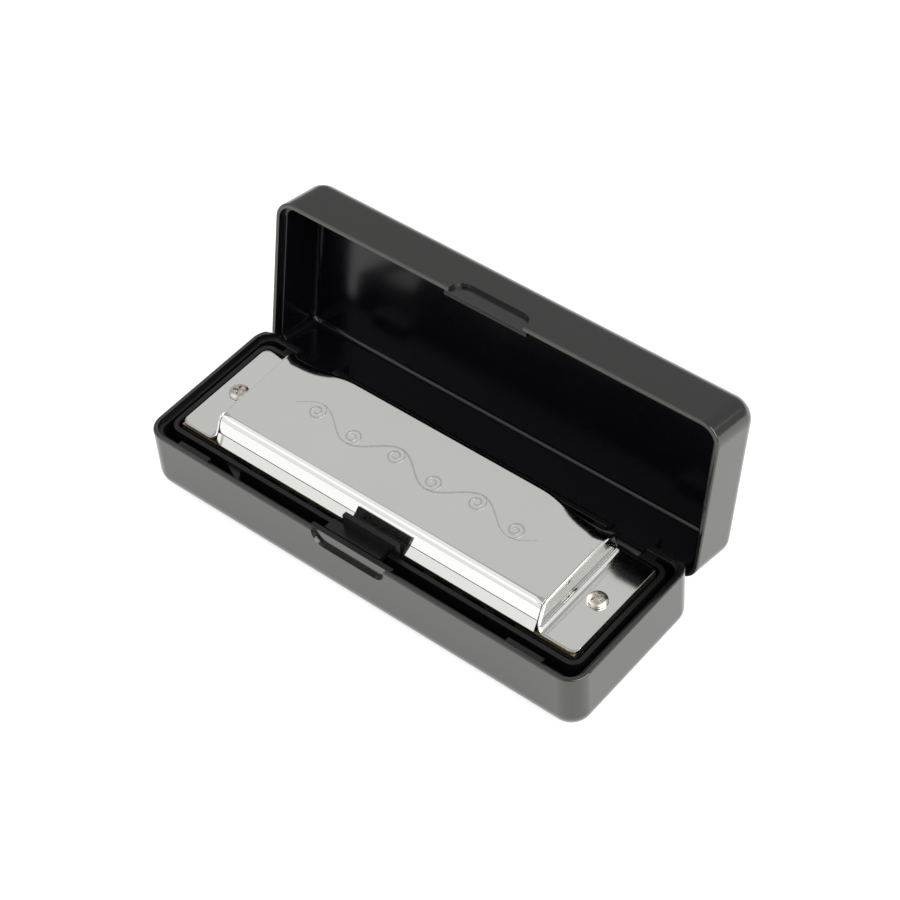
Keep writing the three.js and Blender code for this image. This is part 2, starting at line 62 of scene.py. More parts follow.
# ---- Driving sizes, in millimetres ----
CLEAR = 1.0  # how far a cutting solid reaches past what it cuts
OVERLAP = 0.3  # how far joined solids run into each other
HAIR = 0.02  # keeps two faces from lying in one plane
CASE_SOFTENING = 0.14
CASE_HALF_X = BASE_HIGH.x
CASE_HALF_Y = BASE_HIGH.y
CASE_CORNER = 4.5
CORNER_SHRINK = 0.6  # what a corner's radius loses per millimetre of inset
CORNER_LEAST = 0.7
CASE_EDGE = 5.2
CASE_WALL = 2.0
CASE_FLOOR = 1.0
CASE_INNER_EDGE = 1.3
RIM_Z = 16.5
RIM_ROUND = 0.35
STEP_LIP = 1.0
BASE_STEP = 1.1
LID_STEP = 1.4
# The rim's two small roundings: how far each reaches, and how far its middle is off the corner.
LIP_ROUND, LIP_ROUND_MIDDLE = 0.15, 0.04
LEDGE_ROUND, LEDGE_ROUND_MIDDLE = 0.25, 0.07
LID_GAP = 0.2
LID_DEPTH = 14.2
LID_EDGE = 4.5
LID_FLOOR = 2.2
HINGE_Y = JOINTS["case_lid_hinge"]["pos_m"][1] / MM
HINGE_Z = JOINTS["case_lid_hinge"]["pos_m"][2] / MM
OPEN_ANGLE = math.radians(-JOINTS["case_lid_hinge"]["range_deg"][0])
EAR_INNER, EAR_OUTER = 36.0, 45.0
KNUCKLE = 1.9
EAR_SLOT = 0.35
SLOT_FRONT = 0.6
SLOT_DEPTH = 2.6
STRAP_FRONT = 1.0
STRAP_SINK = 0.4
STRAP_TOP = 3.0
BOSS = 2.8
BOSS_FOOT = 5.0
BOSS_FRONT = 15.0
BOSS_OVER = 2.0
RIM_SWEEP = 3.2
PIN_BORE = 1.15
POCKET_GAP = 0.9
POCKET_WALL = 1.0
POCKET_TOP = 15.9
POCKET_CORNER = 1.6
LEDGE_FROM = 43.6
LEDGE_HALF_Y = 9.5
LEDGE_TOP = 7.2
WELL_RADIUS = 3.0
WELL_FLOOR, WELL_TOP = 4.6, 9.0
GRIP_FROM, GRIP_TO = -9.8, 8.8
GRIP_CORNER = 2.8
GRIP_DEPTH = 0.8
GRIP_MARGIN = 1.0
GRIP_DOWN = 3.5
GRIP_UP = 3.9
# x from and to, y from and to, z from and to
TONGUE = (-5.2, 8.5, -14.25, -13.15, 10.9, 19.75)
BEAD = (-8.1, 6.0, -16.6, -13.95, 15.2, 16.5)
RIM_RIBS = ((-46.9, -38.7), (37.9, 46.5))
RIM_RIB_BACK = -16.6
RIM_RIB_SINK = 0.2
RIM_RIB_FOOT, RIM_RIB_TOP = 4.0, 0.1  # below the rim
GUSSET = ((-37.1, -14.27), (-30.6, -17.65), (-32.8, -14.27))
GUSSET_Z = (10.1, 15.1)

HARP_HALF_X = TAB_HIGH.x
HARP_FRONT = TAB_LOW.y
HARP_BACK = TAB_HIGH.y
HARP_MIDDLE_Y = (HARP_FRONT + HARP_BACK) / 2
MIDDLE_Z = (COMB_LOW.z + COMB_HIGH.z) / 2
TAB_Z = 16.7
SHEET = 0.45
COVER_RISE = 5.3
COVER_CROWN = 0.8
COVER_DROP = 1.8
COVER_DROP_FROM = 27.0
COVER_DROP_POWER = 12.0
COVER_HALF = 41.5
COVER_BACK_INSET = 0.6
BACK_EASE = 3.0  # height over which the tab's back edge eases into the cover's
SCOOP_DEPTH = 1.5
SCOOP_INNER = (24, 34)
SCOOP_OUTER = (38.5, 41.4)
TAB_CORNER = 1.5
END_FILLET = 1.5
END_ROUND = 0.6
FOLD_DEPTH = 4.15
FOLD_RADIUS = 2.0
FLANK_ANGLE = math.radians(66)
LIP_HEIGHT = 1.75
LIP_HALF = COVER_HALF - END_ROUND
LIP_FOOT = 0.05
CREASE = 0.06
SHEET_SOFTENING = 0.1
SCROLL_HALF_X = 31.0
SCROLL_Y = 1.6
SCROLL_WAVE = 2.6
SCROLL_WAVES = 3
SCROLL_CURL = 2.1
SCROLL_CURL_TURN = 3.4  # half turns
SCROLL_CURL_TIGHTENING = 0.82
SCROLL_LINE = 0.42
SCROLL_LEAST_TAPER = 0.06
SCROLL_PROUD, SCROLL_SUNK = 0.03, 0.05
SCREW_X = 46.2
SCREW_RADIUS = 2.1
SCREW_HEIGHT = 1.05
SCREW_EDGE = 0.3
SCREW_CROWN = 0.25
SHANK, SHANK_TIP, SHANK_CHAMFER = 1.0, 0.7, 0.4
RECESS_HALF_LENGTH, RECESS_HALF_WIDTH, RECESS_DEPTH = 1.25, 0.26, 0.7
SCREW_SOFTENING = 0.05
CAD_SOFTENING = 0.05

# ---- Looks ----
PLASTIC_IOR = 1.5
PLASTIC_TINT = (0.98, 1.0, 0.88)
PLASTIC_SPECULAR = 0.85

# ---- Studio, in metres and radiance ----
ROOM_LIGHT = 0.5
FLOOR_GLOW = 0.71
FLOOR_ALBEDO = (0.6, 0.6, 0.6)
FLOOR_HALF = 3.0
AIM = (0.0, 0.0, 0.02)
SOFTBOXES = (
    # name, place, aim, width, height, radiance
    ("front_left", (-0.62, -1.0, 0.58), AIM, 1.9, 1.15, 0.5),
    ("overhead_left", (-0.58, -0.5, 1.1), AIM, 1.2, 0.95, 0.52),
    ("above_back", (-0.62, 0.68, 1.0), AIM, 0.75, 0.62, 0.19),
    ("back_right", (0.78, 0.62, 0.82), AIM, 0.95, 0.85, 0.36),
    ("right", (0.6, 0.0, 0.5), (0.15, 0.0, 0.0), 0.75, 0.75, 3.0),
)

# ---- Camera, solved from the photograph: places in metres, lens in millimetres ----
CAMERA_EYE = (0.232274, -0.238525, 0.387624)
CAMERA_TARGET = (0.015393, -0.004094, 0.042799)
CAMERA_ROLL = math.radians(-4.74)
CAMERA_LENS = 100.75
CAMERA_SENSOR = 36


# ---- Mesh tools ----
def new_piece(name, verts, faces, materials=(), face_slots=None, smooth_angle=30.0):
    """A mesh object from millimetre points, smooth shaded except across sharper edges."""
    mesh = bpy.data.meshes.new(name)
    mesh.from_pydata([Vector(v) * MM for v in verts], [], faces)
    for material in materials:
        mesh.materials.append(material)
    if face_slots:
        mesh.polygons.foreach_set("material_index", face_slots)
    mesh.shade_smooth()
    mesh.set_sharp_from_angle(angle=math.radians(smooth_angle))
    mesh.update()
    piece = bpy.data.objects.new(name, mesh)
    bpy.context.scene.collection.objects.link(piece)
    return piece


def apply_modifiers(piece, smooth_angle=30.0):
    """Replaces the piece's mesh by what its modifiers make of it."""
    graph = bpy.context.evaluated_depsgraph_get()
    mesh = bpy.data.meshes.new_from_object(piece.evaluated_get(graph))
    old = piece.data
    piece.modifiers.clear()
    piece.data = mesh
    mesh.name = old.name
    bpy.data.meshes.remove(old)
    mesh.shade_smooth()
    mesh.set_sharp_from_angle(angle=math.radians(smooth_angle))
    return piece


def boolean(piece, tools, operation):
    """Joins or cuts the piece by each tool object in turn, then removes the tools."""
    for tool in tools:
        modifier = piece.modifiers.new("cut", "BOOLEAN")
        modifier.object = tool
        modifier.operation = operation
        modifier.solver = "EXACT"
        modifier.material_mode = "INDEX"
    apply_modifiers(piece)
    for tool in tools:
        bpy.data.objects.remove(tool)
    return piece


def soften(piece, width, segments=2, angle=38.0):
    """Rounds the piece's sharp edges a little, as moulding and stamping do."""
    modifier = piece.modifiers.new("edges", "BEVEL")
    modifier.width = width * MM
    modifier.segments = segments
    modifier.limit_method = "ANGLE"
    modifier.angle_limit = math.radians(angle)
    modifier.miter_outer = "MITER_ARC"
    apply_modifiers(piece, 40.0)
    weighted = piece.modifiers.new("normals", "WEIGHTED_NORMAL")
    weighted.keep_sharp = True
    weighted.weight = 80
    return piece


def cleaned(piece):
    """Merges doubled points and drops slivers left by a cut."""
    bm = bmesh.new()
    bm.from_mesh(piece.data)
    bmesh.ops.remove_doubles(bm, verts=bm.verts, dist=0.004 * MM)
    bmesh.ops.dissolve_degenerate(bm, edges=bm.edges, dist=0.004 * MM)
    bmesh.ops.recalc_face_normals(bm, faces=bm.faces)
    bm.to_mesh(piece.data)
    bm.free()
    return piece


def block(x0, x1, y0, y1, z0, z1, name="tool", materials=()):
    corners = [(x, y, z) for z in (z0, z1) for y in (y0, y1) for x in (x0, x1)]
    faces = [(0, 2, 3, 1), (4, 5, 7, 6), (0, 1, 5, 4), (2, 6, 7, 3), (0, 4, 6, 2), (1, 3, 7, 5)]
    return new_piece(name, corners, faces, materials)


def prism(points, z0, z1, name="tool", materials=()):
    """An upright solid on an anticlockwise outline."""
    count = len(points)
    verts = [(x, y, z0) for x, y in points] + [(x, y, z1) for x, y in points]
    sides = [(i, (i + 1) % count, (i + 1) % count + count, i + count) for i in range(count)]
    caps = [tuple(reversed(range(count))), tuple(range(count, 2 * count))]
    return new_piece(name, verts, sides + caps, materials)


def rounded_rectangle(half_x, half_y, radius, steps=14):
    """Points of a rounded rectangle about the origin, anticlockwise, starting on the right side."""
    points = []
    for corner, (sx, sy) in enumerate(((1, 1), (-1, 1), (-1, -1), (1, -1))):
        for i in range(steps + 1):
            angle = (corner + i / steps) * math.pi / 2
            points.append((sx * (half_x - radius) + radius * math.cos(angle),
                           sy * (half_y - radius) + radius * math.sin(angle)))
    return points


def loft(rings, name="tool", materials=(), ring_slots=None):
    """A closed solid through a stack of equal rings; the first and last are capped."""
    count = len(rings[0])
    verts = [point for ring in rings for point in ring]
    faces = [tuple(reversed(range(count)))]
    slots = [ring_slots[0] if ring_slots else 0]
    for r in range(len(rings) - 1):
        for i in range(count):
            a, b = r * count + i, r * count + (i + 1) % count
            faces.append((a, b, b + count, a + count))
            slots.append(ring_slots[r] if ring_slots else 0)
    last = (len(rings) - 1) * count
    faces.append(tuple(range(last, last + count)))
    slots.append(ring_slots[-1] if ring_slots else 0)
    return new_piece(name, verts, faces, materials, slots)


def cylinder_x(radius, x0, x1, y, z, sides=48):
    ring = [(radius * math.cos(2 * math.pi * i / sides), radius * math.sin(2 * math.pi * i / sides))
            for i in range(sides)]
    return loft([[(x, y + a, z + b) for a, b in ring] for x in (x0, x1)])


def cylinder_z(radius, z0, z1, x, y, sides=40):
    ring = [(radius * math.cos(2 * math.pi * i / sides), radius * math.sin(2 * math.pi * i / sides))
            for i in range(sides)]
    return loft([[(x + a, y + b, z) for a, b in ring] for z in (z0, z1)])


def tray(name, floor_z, edge, inner_floor, rim_z, step, materials):
    """A closed shell: underside, outside, stepped rim, and the inside down to the inner floor.

    Slot 0 is the polished outside with the rim's lip, slot 1 the inside.
    """
    rings, slots = [], []

    def add(inset, z, radius, slot):
        outline = rounded_rectangle(CASE_HALF_X - inset, CASE_HALF_Y - inset, radius)
        rings.append([(x, y, z) for x, y in outline])
        slots.append(slot)

    def quarter(steps):
        return [i / steps * math.pi / 2 for i in range(steps + 1)]

    for angle in quarter(14):
        inset = edge * (1 - math.sin(angle))
        add(inset, floor_z + edge * (1 - math.cos(angle)),
            max(CASE_CORNER - CORNER_SHRINK * inset, CORNER_LEAST), 0)
    for angle in quarter(5):
        inset = RIM_ROUND * (1 - math.cos(angle))
        add(inset, rim_z - RIM_ROUND * (1 - math.sin(angle)), CASE_CORNER - inset, 0)
    for inset, z, slot in (
        (STEP_LIP - LIP_ROUND, rim_z, 0),
        (STEP_LIP - LIP_ROUND_MIDDLE, rim_z - LIP_ROUND_MIDDLE, 0),
        (STEP_LIP, rim_z - LIP_ROUND, 1),
        (STEP_LIP, rim_z - step, 1),
        (CASE_WALL - LEDGE_ROUND, rim_z - step, 1),
        (CASE_WALL - LEDGE_ROUND_MIDDLE, rim_z - step - LEDGE_ROUND_MIDDLE, 1),
        (CASE_WALL, rim_z - step - LEDGE_ROUND, 1),
    ):
        add(inset, z, CASE_CORNER - inset, slot)
    for angle in quarter(8):
        inset = CASE_INNER_EDGE * (1 - math.cos(angle))
        add(CASE_WALL + inset, inner_floor + CASE_INNER_EDGE * (1 - math.sin(angle)),
            CASE_CORNER - CASE_WALL - CORNER_SHRINK * inset, 1)
    return loft(rings, name, materials, slots)


def grip_backing(ledge_z, rim_z):
    """Fills the step behind a finger grip, so that the front wall keeps its thickness there."""
    low, high = sorted((ledge_z, rim_z))
    return block(GRIP_FROM - GRIP_MARGIN, GRIP_TO + GRIP_MARGIN,
                 -CASE_HALF_Y + STEP_LIP / 2, -CASE_HALF_Y + CASE_WALL,
                 low, high, materials=CASE_MATERIALS)


def smoothstep(edge0, edge1, value):
    t = min(max((value - edge0) / (edge1 - edge0), 0.0), 1.0)
    return t * t * (3 - 2 * t)


def mix(a, b, t):
    return a + (b - a) * t


# ---- Materials ----
def shader_material(name, base, roughness, metallic=0.0, specular=0.5):
    """A Principled material, with its node tree, its shader and an object-space coordinate."""
    material = bpy.data.materials.new(name)
    material.use_nodes = True
    tree = material.node_tree
    shader = tree.nodes["Principled BSDF"]
    shader.inputs["Base Color"].default_value = (*base, 1)
    shader.inputs["Roughness"].default_value = roughness
    shader.inputs["Metallic"].default_value = metallic
    shader.inputs["Specular IOR Level"].default_value = specular
    coordinate = tree.nodes.new("ShaderNodeTexCoord").outputs["Object"]
    return material, tree, shader, coordinate


def noise(tree, coordinate, scale, detail=2.0, stretch=(1, 1, 1)):
    mapping = tree.nodes.new("ShaderNodeMapping")
    mapping.inputs["Scale"].default_value = stretch
    tree.links.new(coordinate, mapping.inputs["Vector"])
    texture = tree.nodes.new("ShaderNodeTexNoise")
    texture.inputs["Scale"].default_value = scale
    texture.inputs["Detail"].default_value = detail
    tree.links.new(mapping.outputs["Vector"], texture.inputs["Vector"])
    return texture.outputs["Fac"]


def remap(tree, value, from_low, from_high, to_low, to_high):
    node = tree.nodes.new("ShaderNodeMapRange")
    for key, number in (("From Min", from_low), ("From Max", from_high),
                        ("To Min", to_low), ("To Max", to_high)):
        node.inputs[key].default_value = number
    tree.links.new(value, node.inputs["Value"])
    return node.outputs["Result"]


def bump(tree, height, distance, strength=1.0, normal=None):
    node = tree.nodes.new("ShaderNodeBump")
    node.inputs["Distance"].default_value = distance
    node.inputs["Strength"].default_value = strength
    tree.links.new(height, node.inputs["Height"])
    if normal is not None:
        tree.links.new(normal, node.inputs["Normal"])
    return node.outputs["Normal"]


def tinted(tree, factor, color_a, color_b):
    """A colour between two; the Mix node's colour sockets are inputs 6 and 7 and output 2."""
    node = tree.nodes.new("ShaderNodeMix")
    node.data_type = "RGBA"
    node.inputs[6].default_value = (*color_a, 1)
    node.inputs[7].default_value = (*color_b, 1)
    tree.links.new(factor, node.inputs[0])
    return node.outputs[2]


def polished_plastic():
    """Moulded black plastic, polished: faint orange peel, handling haze and fine specks."""
    material, tree, shader, at = shader_material("case_polished_plastic", (0.006, 0.006, 0.0065), 0.1,
                                                 specular=PLASTIC_SPECULAR)
    shader.inputs["Specular Tint"].default_value = (*PLASTIC_TINT, 1)
    shader.inputs["IOR"].default_value = PLASTIC_IOR
    haze = noise(tree, at, 60, 5)
    tree.links.new(remap(tree, haze, 0.35, 0.7, 0.10, 0.17), shader.inputs["Roughness"])
    specks = tinted(tree, noise(tree, at, 900, 2), (0.0045, 0.0045, 0.006), (0.008, 0.008, 0.0105))
    tree.links.new(specks, shader.inputs["Base Color"])
    peel = bump(tree, noise(tree, at, 900, 2), 0.00001, 0.25)
    tree.links.new(bump(tree, noise(tree, at, 120, 1), 0.00003, 0.3, peel), shader.inputs["Normal"])
    return material


def shaded_inside_plastic():
    """The lid's inside: the case's plastic with the same moulding texture, its tone darkened and its
    gloss cut as painted shade for the lid's hollow.
    """
    material, tree, shader, at = shader_material("lid_inside_plastic", (0.003, 0.003, 0.004), 0.15,
                                                 specular=0.38)
    tree.links.new(remap(tree, noise(tree, at, 45, 4), 0.35, 0.7, 0.15, 0.23), shader.inputs["Roughness"])
    specks = tinted(tree, noise(tree, at, 700, 2), (0.002, 0.002, 0.003), (0.004, 0.004, 0.006))
    tree.links.new(specks, shader.inputs["Base Color"])
    tree.links.new(bump(tree, noise(tree, at, 90, 1), 0.00004, 0.3), shader.inputs["Normal"])
    return material


def satin_plastic():
    """The unpolished inside of the base: fine spark texture, little gloss."""
    material, tree, shader, at = shader_material("case_satin_plastic", (0.004, 0.004, 0.0045), 0.3,
                                                 specular=0.3)
    grain = noise(tree, at, 2600, 3)
    tree.links.new(remap(tree, noise(tree, at, 90, 4), 0.3, 0.75, 0.22, 0.36),
                   shader.inputs["Roughness"])
    tree.links.new(tinted(tree, grain, (0.003, 0.003, 0.0034), (0.006, 0.006, 0.0066)),
                   shader.inputs["Base Color"])
    tree.links.new(bump(tree, grain, 0.00001, 0.5), shader.inputs["Normal"])
    return material


def comb_plastic():
    """The comb: dull black plastic with a fine grain."""
    material, tree, shader, at = shader_material("comb_plastic", (0.012, 0.012, 0.013), 0.4)
    grain = noise(tree, at, 1800, 3)
    tree.links.new(tinted(tree, grain, (0.01, 0.01, 0.011), (0.02, 0.02, 0.021)),
                   shader.inputs["Base Color"])
    tree.links.new(bump(tree, grain, 0.00003, 0.4), shader.inputs["Normal"])
    return material


def cover_chrome():
    """Chrome plate on a stamped sheet: bright, very slightly wavy, with faint haze and hairlines."""
    material, tree, shader, at = shader_material("cover_chrome", (0.68, 0.685, 0.66), 0.06,
                                                 metallic=1.0)
    haze = noise(tree, at, 55, 5)
    hairline = noise(tree, at, 900, 2, stretch=(0.04, 1, 1))
    tree.links.new(tinted(tree, haze, (0.65, 0.655, 0.63), (0.71, 0.715, 0.69)),
                   shader.inputs["Base Color"])
    tree.links.new(remap(tree, haze, 0.3, 0.75, 0.05, 0.10), shader.inputs["Roughness"])
    fine = bump(tree, hairline, 0.000002, 0.2)
    tree.links.new(bump(tree, noise(tree, at, 30, 1), 0.00004, 0.25, fine), shader.inputs["Normal"])
    return material


def etched_chrome():
    """The lines of the scroll: the same plate, frosted."""
    material, tree, shader, at = shader_material("etched_chrome", (0.58, 0.585, 0.56), 0.34,
                                                 metallic=1.0)
    tree.links.new(remap(tree, noise(tree, at, 1500, 2), 0.3, 0.7, 0.26, 0.42),
                   shader.inputs["Roughness"])
    return material


def brass(name, bright, dark, roughness):
    """Rolled brass with a grain along X and slight tarnish."""
    material, tree, shader, at = shader_material(name, bright, roughness, metallic=1.0)
    tarnish = noise(tree, at, 130, 5)
    grain = noise(tree, at, 1400, 2, stretch=(0.05, 1, 1))
    tree.links.new(tinted(tree, tarnish, bright, dark), shader.inputs["Base Color"])
    tree.links.new(remap(tree, grain, 0.3, 0.7, roughness * 0.8, roughness * 1.3),
                   shader.inputs["Roughness"])
    tree.links.new(bump(tree, grain, 0.000006, 0.5), shader.inputs["Normal"])
    return material


def nickel_steel():
    """Nickel plate on the screws, nuts and hinge pins, mottled in tone and gloss by wear."""
    material, tree, shader, at = shader_material("nickel_steel", (0.72, 0.69, 0.64), 0.22,
                                                 metallic=1.0)
    wear = noise(tree, at, 700, 4)
    tree.links.new(tinted(tree, wear, (0.78, 0.75, 0.70), (0.52, 0.46, 0.40)),
                   shader.inputs["Base Color"])
    tree.links.new(remap(tree, wear, 0.3, 0.7, 0.16, 0.34), shader.inputs["Roughness"])
    return material


POLISHED = polished_plastic()
SATIN = satin_plastic()
SHADED_INSIDE = shaded_inside_plastic()
COMB_PLASTIC = comb_plastic()
CHROME = cover_chrome()
ETCHED = etched_chrome()
# The reed plates' brass is made much darker than the reeds' brass, as painted shade for the gap under the
# cover tabs; only its mottling is tarnish.
SHADED_PLATE_BRASS = brass("reed_plate_brass", (0.42, 0.33, 0.19), (0.26, 0.19, 0.10), 0.36)
REED_BRASS = brass("reed_brass", (0.80, 0.64, 0.34), (0.62, 0.46, 0.22), 0.24)
STEEL = nickel_steel()
CASE_MATERIALS = (POLISHED, SATIN)
# The lid's inside material is a darker, duller copy of the polished plastic: painted shade.
LID_MATERIALS = (POLISHED, SHADED_INSIDE)


# ---- Case base ----
def grip_cutter(rim_z, far_z):
    """The solid that cuts a finger grip: open at the rim, round at its far corners."""
    side = 1 if far_z > rim_z else -1
    outline = [(GRIP_FROM, rim_z - side * CLEAR)]
    steps = 10
    for i in range(steps + 1):
        angle = i / steps * math.pi / 2
        outline.append((GRIP_FROM + GRIP_CORNER * (1 - math.cos(angle)),
                        far_z - side * GRIP_CORNER * (1 - math.sin(angle))))
    for i in range(steps + 1):
        angle = (1 - i / steps) * math.pi / 2
        outline.append((GRIP_TO - GRIP_CORNER * (1 - math.cos(angle)),
                        far_z - side * GRIP_CORNER * (1 - math.sin(angle))))
    outline.append((GRIP_TO, rim_z - side * CLEAR))
    if side > 0:
        outline.reverse()
    count = len(outline)
    front, back = -CASE_HALF_Y - 2 * CLEAR, -CASE_HALF_Y + GRIP_DEPTH
    verts = [(x, front, z) for x, z in outline] + [(x, back, z) for x, z in outline]
    sides = [(i, i + count, (i + 1) % count + count, (i + 1) % count) for i in range(count)]
    caps = [tuple(range(count)), tuple(reversed(range(count, 2 * count)))]
    return cleaned(new_piece("tool", verts, sides + caps))


def case_base():
    """The lower half, with the harmonica's pocket, the latch parts and the hinge bosses."""
    base = tray("case_base_shell", 0, CASE_EDGE, CASE_FLOOR, RIM_Z, BASE_STEP, CASE_MATERIALS)
    inner = (HARP_HALF_X + POCKET_GAP, (HARP_BACK - HARP_FRONT) / 2 + POCKET_GAP)
    outer = (inner[0] + POCKET_WALL, inner[1] + POCKET_WALL)
    low = CASE_FLOOR - OVERLAP

    def pocket_ring(half, radius, z):
        return [(x, y + HARP_MIDDLE_Y, z) for x, y in rounded_rectangle(*half, radius, 8)]

    pocket = loft([pocket_ring(outer, POCKET_CORNER + POCKET_WALL, z) for z in (low, POCKET_TOP)],
                  materials=CASE_MATERIALS, ring_slots=[1, 1])
    hollow = loft([pocket_ring(inner, POCKET_CORNER, z) for z in (low - CLEAR, POCKET_TOP + CLEAR)],
                  materials=CASE_MATERIALS, ring_slots=[1, 1])
    added = [boolean(pocket, [hollow], "DIFFERENCE")]
    wells = []
    bores = []
    slots = []
    for side in (-1, 1):
        x0, x1 = sorted((side * LEDGE_FROM, side * (inner[0] + POCKET_WALL / 2)))
        added.append(block(x0, x1, -LEDGE_HALF_Y, LEDGE_HALF_Y, low, LEDGE_TOP,
                           materials=CASE_MATERIALS))
        wells.append(cylinder_z(WELL_RADIUS, WELL_FLOOR, WELL_TOP, side * SCREW_X, HARP_MIDDLE_Y))
        for near, far in ((EAR_INNER - EAR_SLOT - BOSS, EAR_INNER - EAR_SLOT),
                          (EAR_OUTER + EAR_SLOT, EAR_OUTER + EAR_SLOT + BOSS)):
            x0, x1 = sorted((side * near, side * far))
            added.append(block(x0, x1, BOSS_FRONT, CASE_HALF_Y - CASE_WALL + OVERLAP,
                               BOSS_FOOT, HINGE_Z + BOSS_OVER, materials=CASE_MATERIALS))
        x0, x1 = sorted((side * (EAR_INNER - EAR_SLOT), side * (EAR_OUTER + EAR_SLOT)))
        slots.append(block(x0, x1, HARP_BACK + SLOT_FRONT, CASE_HALF_Y + CLEAR,
                           HINGE_Z - SLOT_DEPTH, RIM_Z + CLEAR))
        bores.append(cylinder_x(PIN_BORE, x0 - BOSS - CLEAR, x1 + BOSS + CLEAR, HINGE_Y, HINGE_Z))
    added.append(block(*TONGUE, materials=CASE_MATERIALS))
    added.append(block(*BEAD, materials=CASE_MATERIALS))
    added.append(grip_backing(RIM_Z - BASE_STEP - OVERLAP, RIM_Z - HAIR))
    for x0, x1 in RIM_RIBS:
        added.append(block(x0, x1, -CASE_HALF_Y + STEP_LIP - RIM_RIB_SINK, RIM_RIB_BACK,
                           RIM_Z - RIM_RIB_FOOT, RIM_Z - RIM_RIB_TOP, materials=CASE_MATERIALS))
    added.append(prism(GUSSET, *GUSSET_Z, materials=CASE_MATERIALS))
    for piece in added:
        for polygon in piece.data.polygons:
            polygon.material_index = 1
    boolean(base, added, "UNION")

    # The rear rim is rounded about the hinge line so that the lid can turn past it.
    behind = block(-CASE_HALF_X - CLEAR, CASE_HALF_X + CLEAR, HINGE_Y, CASE_HALF_Y + CLEAR,
                   HINGE_Z, RIM_Z + CLEAR)
    sweep = cylinder_x(RIM_SWEEP, -CASE_HALF_X - 2 * CLEAR, CASE_HALF_X + 2 * CLEAR,
                       HINGE_Y, HINGE_Z, 120)
    boolean(base, [boolean(behind, [sweep], "DIFFERENCE")], "DIFFERENCE")
    boolean(base, slots + bores + wells + [grip_cutter(RIM_Z, RIM_Z - GRIP_DOWN)], "DIFFERENCE")
    cleaned(base)
    soften(base, CASE_SOFTENING)
    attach(base, "case_base")
    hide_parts("case_base")


# ---- Case lid ----
def case_lid():
    """Built shut, in place over the base, then turned about the hinge line to where it stands open."""
    rim = RIM_Z + LID_GAP
    top = rim + LID_DEPTH
    lid = tray("case_lid_shell", -top, LID_EDGE, LID_FLOOR - top, -rim, LID_STEP, LID_MATERIALS)
    lid.data.transform(Matrix.Rotation(math.pi, 4, "X"))
    added = [grip_backing(rim + HAIR, rim + LID_STEP + OVERLAP)]
    bores = []
    for side in (-1, 1):
        x0, x1 = sorted((side * EAR_INNER, side * EAR_OUTER))
        ear = cylinder_x(KNUCKLE, x0, x1, HINGE_Y, HINGE_Z)
        strap = block(x0, x1, HINGE_Y - STRAP_FRONT, CASE_HALF_Y - CASE_WALL + STRAP_SINK,
                      HINGE_Z, rim + STRAP_TOP)
        added.append(boolean(ear, [strap], "UNION"))
        bores.append(cylinder_x(PIN_BORE, x0 - CLEAR, x1 + CLEAR, HINGE_Y, HINGE_Z))
    for piece in added:
        if not piece.data.materials:
            for material in LID_MATERIALS:
                piece.data.materials.append(material)
        for polygon in piece.data.polygons:
            polygon.material_index = 1
    boolean(lid, added, "UNION")
    boolean(lid, bores + [grip_cutter(rim, rim + GRIP_UP)], "DIFFERENCE")
    cleaned(lid)
    soften(lid, CASE_SOFTENING)
    pivot = Vector((0, HINGE_Y, HINGE_Z)) * MM
    turn = Matrix.Rotation(-OPEN_ANGLE, 4, "X")
    lid.data.transform(Matrix.Translation(pivot) @ turn @ Matrix.Translation(-pivot))
    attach(lid, "case_lid")
    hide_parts("case_lid")


# ---- Cover plates ----
def cover_rise(x, y):
    """Height of the cover's top over its tabs."""
    back = min(max((y - HARP_FRONT - FOLD_DEPTH) / (HARP_BACK - HARP_FRONT - FOLD_DEPTH), 0.0), 1.0)
    fall = COVER_DROP * smoothstep(COVER_DROP_FROM, COVER_HALF, abs(x))
    return COVER_RISE + COVER_CROWN * back - fall * back ** COVER_DROP_POWER


def front_profile():
    """(y, height over the tabs) from the foot of the lip up over the crease and the fold to the top."""
    fold_start = HARP_FRONT + FOLD_DEPTH
    down = []
    steps = 12
    for i in range(steps + 1):
        angle = i / steps * FLANK_ANGLE
        down.append((fold_start - FOLD_RADIUS * math.sin(angle),
                     COVER_RISE - FOLD_RADIUS * (1 - math.cos(angle))))
    arc_y, arc_z = down[-1]
    crease_z = LIP_HEIGHT + CREASE
    crease_y = arc_y - (arc_z - crease_z) / math.tan(FLANK_ANGLE)
    for t in (0.3, 0.6, 0.95, 1.0):
        down.append((mix(arc_y, crease_y, t), mix(arc_z, crease_z, t)))
    foot_z = -SHEET + LIP_FOOT
    for t in (0.0, 0.05, 0.3, 0.65, 0.95, 1.0):
        down.append((mix(crease_y, HARP_FRONT, t), mix(LIP_HEIGHT, foot_z, t)))
    return list(reversed(down))


FRONT_PROFILE = front_profile()


def front_y(height):
    """How far forward the fold and lip reach at a height over the tabs."""
    for (y0, z0), (y1, z1) in zip(FRONT_PROFILE, FRONT_PROFILE[1:]):
        if z0 <= height <= z1:
            return mix(y0, y1, (height - z0) / (z1 - z0))
    return FRONT_PROFILE[0][0] if height < FRONT_PROFILE[0][1] else FRONT_PROFILE[-1][0]


def cover_back(x):
    """Where the back edge lies: straight, with a shallow scoop short of each corner."""
    across = abs(x)
    scoop = SCOOP_DEPTH * smoothstep(*SCOOP_INNER, across) * (1 - smoothstep(*SCOOP_OUTER, across))
    return HARP_BACK - COVER_BACK_INSET - scoop


